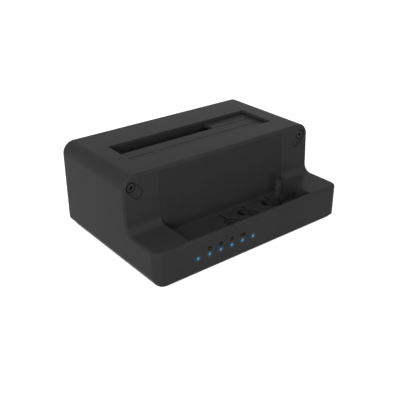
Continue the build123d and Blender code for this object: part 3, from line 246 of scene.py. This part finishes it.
# Flat flexible cable: white sleeve, the copper strips showing through as stripes 1 mm apart
def stripedRibbon(name, look):
    material, tree, shader, place = startMaterial(name, look["sleeve"], {
        "Roughness": look["roughness"]})
    split = addNode(tree, "ShaderNodeSeparateXYZ", {"Vector": place})
    turns = addNode(tree, "ShaderNodeMath", {
        0: split.outputs["X"], 1: 2 * math.pi / (look["pitch"] * mm)}, operation="MULTIPLY")
    wave = addNode(tree, "ShaderNodeMath", {0: turns.outputs[0]}, operation="SINE")
    band = addNode(tree, "ShaderNodeMapRange", {
        "Value": wave.outputs[0], "From Min": -look["stripEdge"], "From Max": look["stripEdge"]})
    stripes = addNode(tree, "ShaderNodeMix", {
        "Factor": band.outputs["Result"],
        mixFrom: toLinear(look["sleeve"]), mixTo: toLinear(look["strip"])}, data_type="RGBA")
    bump = addNode(tree, "ShaderNodeBump", {
        "Height": band.outputs["Result"],
        "Strength": look["stripStrength"], "Distance": look["stripDepth"] * mm})
    setInputs(tree, shader, {
        "Base Color": stripes.outputs[mixed], "Normal": bump.outputs["Normal"]})
    return material


ribbonLook = dict(sleeve="#dedcd4", strip="#b9b3a2", roughness=0.45, pitch=1.0, stripEdge=0.2,
                  stripStrength=0.4, stripDepth=0.05)


# Light bar: clear moulded acrylic, polished, its six faces lit blue-white from behind; halo,
# haloReach and haloPower give a painted blue glow on the case round each face
lightBar = dict(lights=6, firstX=-42.2, pitch=8.0, z=9.1, radius=0.9, roughness=0.12, ior=1.49,
                clear="#1d566c", clearness=0.15, core="#74cdf6", rim="#004f86", coreReach=0.8,
                power=0.45, halo="#00b0ff", haloReach=2.4, haloPower=0.075)
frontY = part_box("case_shell")[0].y


# Distance from the middle of the nearest light's face, with or without the depth behind it
def lightDistance(tree, place, look, withDepth):
    split = addNode(tree, "ShaderNodeSeparateXYZ", {"Vector": place})
    along = addNode(tree, "ShaderNodeMath", {
        0: split.outputs["X"], 1: look["firstX"] * mm}, operation="SUBTRACT")
    pitches = addNode(tree, "ShaderNodeMath", {
        0: along.outputs[0], 1: look["pitch"] * mm}, operation="DIVIDE")
    whole = addNode(tree, "ShaderNodeMath", {0: pitches.outputs[0]}, operation="ROUND")
    nearest = addNode(tree, "ShaderNodeClamp", {
        "Value": whole.outputs[0], "Min": 0, "Max": look["lights"] - 1})
    middle = addNode(tree, "ShaderNodeMath", {
        0: nearest.outputs[0], 1: look["pitch"] * mm}, operation="MULTIPLY")
    across = addNode(tree, "ShaderNodeMath", {
        0: along.outputs[0], 1: middle.outputs[0]}, operation="SUBTRACT")
    up = addNode(tree, "ShaderNodeMath", {
        0: split.outputs["Z"], 1: look["z"] * mm}, operation="SUBTRACT")
    behind = addNode(tree, "ShaderNodeMath", {
        0: split.outputs["Y"], 1: frontY}, operation="SUBTRACT")
    spot = addNode(tree, "ShaderNodeCombineXYZ", {
        "X": across.outputs[0], "Y": behind.outputs[0] if withDepth else 0, "Z": up.outputs[0]})
    length = addNode(tree, "ShaderNodeVectorMath", {0: spot.outputs["Vector"]}, operation="LENGTH")
    return length.outputs["Value"]


# Makes a surface glow from one colour at the inner distance to another at the outer one, in mm
def addGlow(tree, shader, distance, inner, outer, colours, strength):
    fade = addNode(tree, "ShaderNodeMapRange", {
        "Value": distance, "From Min": inner * mm, "From Max": outer * mm},
        interpolation_type="SMOOTHSTEP")
    glow = addNode(tree, "ShaderNodeMix", {
        "Factor": fade.outputs["Result"],
        mixFrom: toLinear(colours[0]), mixTo: toLinear(colours[1])}, data_type="RGBA")
    setInputs(tree, shader, {"Emission Color": glow.outputs[mixed], "Emission Strength": strength})


def litAcrylic(name, look):
    material, tree, shader, place = startMaterial(name, look["clear"], {
        "Roughness": look["roughness"], "IOR": look["ior"],
        "Transmission Weight": look["clearness"]})
    distance = lightDistance(tree, place, look, False)
    addGlow(tree, shader, distance, 0, look["coreReach"] * look["radius"],
            (look["core"], look["rim"]), look["power"])
    return material


# Painted glow on the case round each light: an emission, blue at the light's edge, that has died
# away at haloReach
def addHalo(material, look):
    tree = material.node_tree
    place = tree.nodes["Texture Coordinate"].outputs["Object"]
    distance = lightDistance(tree, place, look, True)
    addGlow(tree, tree.nodes["Principled BSDF"], distance, look["radius"], look["haloReach"],
            (look["halo"], "#000000"), look["haloPower"])
    return material


# LED chips: yellowish phosphor under clear resin, lit blue-white and a little cloudy
def litChip(name, look):
    material, tree, shader, place = startMaterial(name, look["phosphor"], {
        "Roughness": look["roughness"], "Emission Strength": look["power"]})
    cloud = addNode(tree, "ShaderNodeTexNoise", {
        "Vector": place, "Scale": 1 / (look["cloud"] * mm), "Detail": look["cloudDetail"]})
    light = addNode(tree, "ShaderNodeMix", {
        "Factor": cloud.outputs["Fac"],
        mixFrom: toLinear(look["blue"]), mixTo: toLinear(look["white"])}, data_type="RGBA")
    setInputs(tree, shader, {"Emission Color": light.outputs[mixed]})
    return material


ledLook = dict(phosphor="#dfe9c8", roughness=0.3, blue="#9fd8f6", white="#d9f1ff", power=1.0,
               cloud=0.4, cloudDetail=1.0)


# Pad-printed ink: a flat film, thinner in places, that takes the shine off the plastic
def padInk(name, look):
    material, tree, shader, place = startMaterial(name, look["colour"], {
        "Roughness": look["roughness"], "Specular IOR Level": look["shine"]})
    cover = addNode(tree, "ShaderNodeTexNoise", {
        "Vector": place, "Scale": 1 / (look["cover"] * mm), "Detail": look["coverDetail"]})
    layer = addNode(tree, "ShaderNodeMix", {
        "Factor": cover.outputs["Fac"],
        mixFrom: toLinear(look["colour"]), mixTo: toLinear(look["thin"])}, data_type="RGBA")
    setInputs(tree, shader, {"Base Color": layer.outputs[mixed]})
    return material


# real ink varies over about 0.1 mm; it is drawn over 0.4 mm so that it shows
darkInk = dict(colour="#050506", thin="#0b0b0c", roughness=0.75, shine=0.03, cover=0.4,
               coverDetail=2.0)
whiteInk = dict(darkInk, colour="#c9c9c6", thin="#b8b8b4", shine=0.3)

finishes = {
    # the case carries a painted blue glow round the lights
    "case": addHalo(mouldedPlastic("caseSparkGrainABS", caseLook), lightBar),
    "cover": mouldedPlastic("coverSparkGrainABS", caseLook),
    "tray": mouldedPlastic("traySparkGrainABS", trayLook),
    "guide": mouldedPlastic("guideMouldedABS", guideLook),
    "flap": mouldedPlastic("flapSparkGrainABS", flapLook),
    "post": mouldedPlastic("postMouldedNylon", postLook),
    "button": mouldedPlastic("buttonMouldedABS", buttonLook),
    "switch": mouldedPlastic("switchGlossPBT", switchLook),
    "socket": mouldedPlastic("socketMouldedNylon", socketLook),
    "light_socket": mouldedPlastic("ribbonSocketMouldedNylon", ivoryLook),
    "chip": mouldedPlastic("chipMouldedEpoxy", chipLook),
    "coil": mouldedPlastic("coilPressedFerrite", coilLook),
    "rubber": mouldedRubber("footMouldedRubber", rubberLook),
    "steel": platedMetal("screwZincPlatedSteel", zincLook),
    "black_screw": platedMetal("screwBlackenedSteel", blackScrewLook),
    "spring_steel": platedMetal("springDrawnWire", springLook),
    "port_steel": platedMetal("portNickelPlatedSteel", nickelLook),
    "contact": platedMetal("contactGoldPlatedBrass", goldLook),
    "can": platedMetal("canDrawnAluminium", canLook),
    "board": maskedBoard("boardSolderMask", boardLook),
    "ribbon": stripedRibbon("ribbonFlexibleCable", ribbonLook),
    "led": litChip("ledResin", ledLook),
    "light_guide": litAcrylic("lightBarPolishedAcrylic", lightBar),
}
for part in frame["record"]["subparts"]:
    holder = nodes[part["node"]]
    if not holder.material_slots:
        holder.data.materials.append(None)
    for slot in holder.material_slots:
        slot.material = finishes[part["material_slot"]]
print("stage: finishes made,", len(finishes))

numberInk = padInk("numberPadInk", darkInk)
markInk = padInk("markPadInk", whiteInk)

# Printed films: twice as thick as real ink, which is about 0.02 mm. Depth and merge are in metres,
# and capital is a capital letter's share of the font's size.
prints = dict(depth=0.04 * mm, merge=1e-7, capital=0.7, curveSteps=3, ringSteps=48)


# Closes a flat shape into a film and hands it over as a mesh
def filmMesh(work):
    bmesh.ops.remove_doubles(work, verts=work.verts, dist=prints["merge"])
    lifted = bmesh.ops.extrude_face_region(work, geom=work.faces[:])
    raised = [item for item in lifted["geom"] if isinstance(item, bmesh.types.BMVert)]
    bmesh.ops.translate(work, vec=(0, 0, prints["depth"]), verts=raised)
    bmesh.ops.recalc_face_normals(work, faces=work.faces)
    # extrude leaves the faces in another order each run, so they are put in their points' order
    work.verts.index_update()
    inOrder = sorted(work.faces, key=lambda face: [vert.index for vert in face.verts])
    ranks = {face: rank for rank, face in enumerate(inOrder)}
    work.faces.sort(key=ranks.get)
    mesh = bpy.data.meshes.new("film")
    work.to_mesh(mesh)
    work.free()
    return mesh


# Characters as one film, their middle at the origin, facing +Z; heavier thickens every stroke
def textFilm(text, height, heavier):
    curve = bpy.data.curves.new("letter", "FONT")
    curve.body = text
    curve.size = height * mm / prints["capital"]
    curve.align_x = "CENTER"
    curve.align_y = "CENTER"
    curve.offset = heavier * mm
    curve.resolution_u = prints["curveSteps"]
    holder = bpy.data.objects.new("letter", curve)
    bpy.context.collection.objects.link(holder)
    bpy.context.view_layer.update()
    work = bmesh.new()
    work.from_mesh(bpy.data.meshes.new_from_object(holder))
    bpy.data.objects.remove(holder)
    return filmMesh(work)


# A flat bar from one point to another, in mm
def leaderLine(start, end, width):
    run = Vector(end) - Vector(start)
    work = bmesh.new()
    bmesh.ops.create_grid(work, x_segments=1, y_segments=1, size=0.5)
    bmesh.ops.scale(work, vec=(run.length * mm, width * mm, 1), verts=work.verts)
    turn = Matrix.Rotation(math.atan2(run.y, run.x), 3, "Z")
    bmesh.ops.rotate(work, matrix=turn, verts=work.verts)
    middle = (Vector(start) + Vector(end)) / 2 * mm
    bmesh.ops.translate(work, vec=middle.to_3d(), verts=work.verts)
    return filmMesh(work)


# The dark line round a keyhole: two circles, each pulled apart into a long outline, then bridged
def outlineFilm(run, radius, width):
    work = bmesh.new()
    halfStep = Matrix.Rotation(math.pi / prints["ringSteps"], 3, "Z")  # leaves no point at x = 0
    for size in (radius, radius + width):
        ring = bmesh.ops.create_circle(
            work, segments=prints["ringSteps"], radius=size * mm)["verts"]
        bmesh.ops.rotate(work, matrix=halfStep, verts=ring)
        for side in (-1, 1):
            half = [vert for vert in ring if vert.co.x * side > 0]
            bmesh.ops.translate(work, vec=(side * run / 2 * mm, 0, 0), verts=half)
    bmesh.ops.bridge_loops(work, edges=work.edges[:])
    return filmMesh(work)


# Gathers films, each at its own place, into one printed piece that rides on a body
def printedPiece(name, films, body, material):
    work = bmesh.new()
    for film, place in films:
        film.transform(place)
        work.from_mesh(film)
    mesh = bpy.data.meshes.new(name)
    work.to_mesh(mesh)
    work.free()
    mesh.materials.append(material)
    piece = bpy.data.objects.new(name, mesh)
    bpy.context.collection.objects.link(piece)
    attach(piece, body)


# Percentages above the four middle lights, as the copying runs
lightNumbers = dict(texts=("25", "50", "75", "100"), firstLight=1, height=2.0, heavier=0.09, z=12.7)
standing = Matrix.Rotation(math.radians(90), 4, "X")
films = []
for step, text in enumerate(lightNumbers["texts"]):
    x = (lightBar["firstX"] + (lightNumbers["firstLight"] + step) * lightBar["pitch"]) * mm
    films.append((textFilm(text, lightNumbers["height"], lightNumbers["heavier"]),
                  Matrix.Translation((x, frontY, lightNumbers["z"] * mm)) @ standing))
printedPiece("lightNumbers", films, "base", numberInk)

# Card lengths beside the three keyholes, each with a line that leads to an outline round its hole.
# A mark is its length, the side that its keyhole runs to, its x and the y where its line ends.
cardNumbers = dict(height=2.4, heavier=0.12, floorZ=13.0, lineWidth=0.75, textY=-21.2,
                   textSpace=1.6, outlineRun=6.3, outlineRadius=2.9, outlineWidth=0.4,
                   slotAngle=-45, farLength=80,
                   marks=((42, -1, -6.0, -28.1), (60, 1, 11.8, -25.9), (80, 1, 31.7, -26.9)))
films = []
onFloor = Matrix.Translation((0, 0, cardNumbers["floorZ"] * mm))
alongSlot = Matrix.Rotation(math.radians(cardNumbers["slotAngle"]), 4, "Z")
postMiddle = sum(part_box("m2_post"), Vector()) / 2  # the farthest keyhole's narrow end
for length, side, x, lineEnd in cardNumbers["marks"]:
    narrowX = postMiddle.x + (length - cardNumbers["farLength"]) * mm
    towardsRound = alongSlot @ Vector((-side * cardNumbers["outlineRun"] / 2 * mm, 0, 0))
    slotMiddle = Vector((narrowX, postMiddle.y, 0)) + towardsRound
    outline = outlineFilm(
        cardNumbers["outlineRun"], cardNumbers["outlineRadius"], cardNumbers["outlineWidth"])
    films.append((outline, onFloor @ Matrix.Translation(slotMiddle) @ alongSlot))
    films.append((textFilm(str(length), cardNumbers["height"], cardNumbers["heavier"]),
                  onFloor @ Matrix.Translation((x * mm, cardNumbers["textY"] * mm, 0))))
    lineStart = cardNumbers["textY"] - cardNumbers["textSpace"]
    films.append((leaderLine((x, lineStart), (x, lineEnd), cardNumbers["lineWidth"]), onFloor))
printedPiece("cardNumbers", films, "base", numberInk)

# On and off marks in the middles of the rocker's halves, with the angle that each half is turned
rockerMarks = dict(height=3.4, heavier=0.1,
                   marks=(("I", (-37.289, 46.350, 20.7), 0), ("O", (-31.212, 46.882, 20.7), 10)))
films = []
for text, place, turn in rockerMarks["marks"]:
    facing = Matrix.Rotation(math.radians(180 + turn), 4, "Z") @ standing
    films.append((textFilm(text, rockerMarks["height"], rockerMarks["heavier"]),
                  Matrix.Translation(Vector(place) * mm) @ facing))
printedPiece("rockerMarks", films, "rocker", markInk)
print("stage: printed marks made")


# 1 for the rays that may see a white background: the camera's, and those that gloss or glass sends
def backgroundRays(tree):
    ray = addNode(tree, "ShaderNodeLightPath")
    seen = addNode(tree, "ShaderNodeMath", {
        0: ray.outputs["Is Camera Ray"], 1: ray.outputs["Is Glossy Ray"]}, operation="MAXIMUM")
    return addNode(tree, "ShaderNodeMath", {
        0: seen.outputs[0], 1: ray.outputs["Is Transmission Ray"]}, operation="MAXIMUM").outputs[0]


# Floor of pale paper, white to those rays, with that white cut out round the object's footprint as
# a painted contact shadow: its size in metres, the footprint's figures in mm
paperFloor = dict(size=6.0, glow=0.92, white="#ffffff", colour="#c8c8c8",
                  footprintRadius=5.0, paintedShadowEdge=0.4, footprintRise=0.4)
work = bmesh.new()
bmesh.ops.create_grid(work, x_segments=1, y_segments=1, size=paperFloor["size"] / 2)
floorMesh = bpy.data.meshes.new("floor")
work.to_mesh(floorMesh)
work.free()
floor = bpy.data.objects.new("floor", floorMesh)
bpy.context.collection.objects.link(floor)
floorMaterial = bpy.data.materials.new("floorPaper")
floorMaterial.use_nodes = True
tree = floorMaterial.node_tree
tree.nodes.clear()
whiteRays = backgroundRays(tree)
# painted contact shadow: the paper's glow is cut out in the shape of the case's footprint and fades
# back in over 0.4 mm to each side of its edge, so the low gap that its feet leave and a thin line
# round the base stay dark
place = addNode(tree, "ShaderNodeTexCoord").outputs["Object"]
split = addNode(tree, "ShaderNodeSeparateXYZ", {"Vector": place})
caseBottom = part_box("case_shell")[0].z + paperFloor["footprintRise"] * mm
lowest = [vertex.co for vertex in nodes["case_shell"].data.vertices if vertex.co.z < caseBottom]
footprint = (max(point.x for point in lowest), max(point.y for point in lowest))
past = []
for axis, half in zip("XY", footprint):
    reach = addNode(tree, "ShaderNodeMath", {0: split.outputs[axis]}, operation="ABSOLUTE")
    over = addNode(tree, "ShaderNodeMath", {
        0: reach.outputs[0], 1: half - paperFloor["footprintRadius"] * mm}, operation="SUBTRACT")
    past.append(addNode(tree, "ShaderNodeMath", {
        0: over.outputs[0], 1: 0.0}, operation="MAXIMUM").outputs[0])
corner = addNode(tree, "ShaderNodeCombineXYZ", {"X": past[0], "Y": past[1]})
outside = addNode(tree, "ShaderNodeVectorMath", {0: corner.outputs["Vector"]}, operation="LENGTH")
glow = addNode(tree, "ShaderNodeMapRange", {
    "Value": outside.outputs["Value"],
    "From Min": (paperFloor["footprintRadius"] - paperFloor["paintedShadowEdge"]) * mm,
    "From Max": (paperFloor["footprintRadius"] + paperFloor["paintedShadowEdge"]) * mm,
    "To Max": paperFloor["glow"]}, interpolation_type="SMOOTHSTEP")
glowRoundPaintedShadow = addNode(tree, "ShaderNodeMath", {
    0: whiteRays, 1: glow.outputs["Result"]}, operation="MULTIPLY")
glowing = addNode(tree, "ShaderNodeEmission", {
    "Strength": glowRoundPaintedShadow.outputs[0], "Color": toLinear(paperFloor["white"])})
paper = addNode(tree, "ShaderNodeBsdfDiffuse", {"Color": toLinear(paperFloor["colour"])})
both = addNode(tree, "ShaderNodeAddShader", {0: glowing.outputs[0], 1: paper.outputs[0]})
addNode(tree, "ShaderNodeOutputMaterial", {"Surface": both.outputs[0]})
floorMesh.materials.append(floorMaterial)

# Sky: white to the same rays, and a soft fill light to the rest
sky = dict(colour="#ffffff", forObject=0.14, forGloss=1.0)
world = bpy.data.worlds.new("studioWorld")
bpy.context.scene.world = world
world.use_nodes = True
tree = world.node_tree
tree.nodes.clear()
power = addNode(tree, "ShaderNodeMapRange", {
    "Value": backgroundRays(tree), "To Min": sky["forObject"], "To Max": sky["forGloss"]})
backdrop = addNode(tree, "ShaderNodeBackground", {
    "Color": toLinear(sky["colour"]), "Strength": power.outputs["Result"]})
addNode(tree, "ShaderNodeOutputWorld", {"Surface": backdrop.outputs[0]})

# Soft boxes, each at its place in metres and aimed at the object
lampAim = Vector((0, 0, 0.02))
softBoxes = {
    # the hollow round between wall and ledge
    "cardBox": dict(place=(0.46, -0.6, 0.56), wide=0.35, high=0.8, watts=1.5),
    # the top, the left side and the rounded edge between them
    "edgeBox": dict(place=(-0.8, -0.1, 0.75), wide=0.5, high=0.5, watts=5.2),
    # the front walls and the near upright corner
    "lowBox": dict(place=(-0.52, -0.77, 0.17), wide=0.5, high=0.28, watts=3.5),
    # the ports, without a mirror streak over the top
    "rearBox": dict(place=(0.55, 0.95, 0.13), wide=0.8, high=0.25, watts=6.0, mirrored=False),
}
for name, box in softBoxes.items():
    lamp = bpy.data.lights.new(name, "AREA")
    lamp.shape = "RECTANGLE"
    lamp.size = box["wide"]
    lamp.size_y = box["high"]
    lamp.energy = box["watts"]
    holder = bpy.data.objects.new(name, lamp)
    holder.location = box["place"]
    aim = lampAim - Vector(box["place"])
    holder.rotation_euler = aim.to_track_quat("-Z", "Y").to_euler()
    holder.visible_glossy = box.get("mirrored", True)
    bpy.context.collection.objects.link(holder)

# Camera: angles in degrees, distance and target in metres, focal and frame in pixels, sensor in mm
view = dict(azimuth=-38.29, elevation=26.83, distance=0.39948, target=(-0.00322, 0.0, 0.01344),
            focal=641.44, frame=400, sensor=36.0, nearest=0.01)
azimuth, elevation = math.radians(view["azimuth"]), math.radians(view["elevation"])
level = math.cos(elevation)
back = Vector((math.sin(azimuth) * level, -math.cos(azimuth) * level, math.sin(elevation)))
lens = bpy.data.cameras.new("camera")
lens.sensor_fit = "HORIZONTAL"
lens.sensor_width = view["sensor"]
lens.lens = view["focal"] / view["frame"] * view["sensor"]
lens.clip_start = view["nearest"]
camera = bpy.data.objects.new("camera", lens)
camera.location = Vector(view["target"]) + back * view["distance"]
camera.rotation_euler = back.to_track_quat("Z", "Y").to_euler()
bpy.context.collection.objects.link(camera)
bpy.context.scene.camera = camera
bpy.context.scene.view_settings.view_transform = "Standard"
print("stage: studio and camera set")
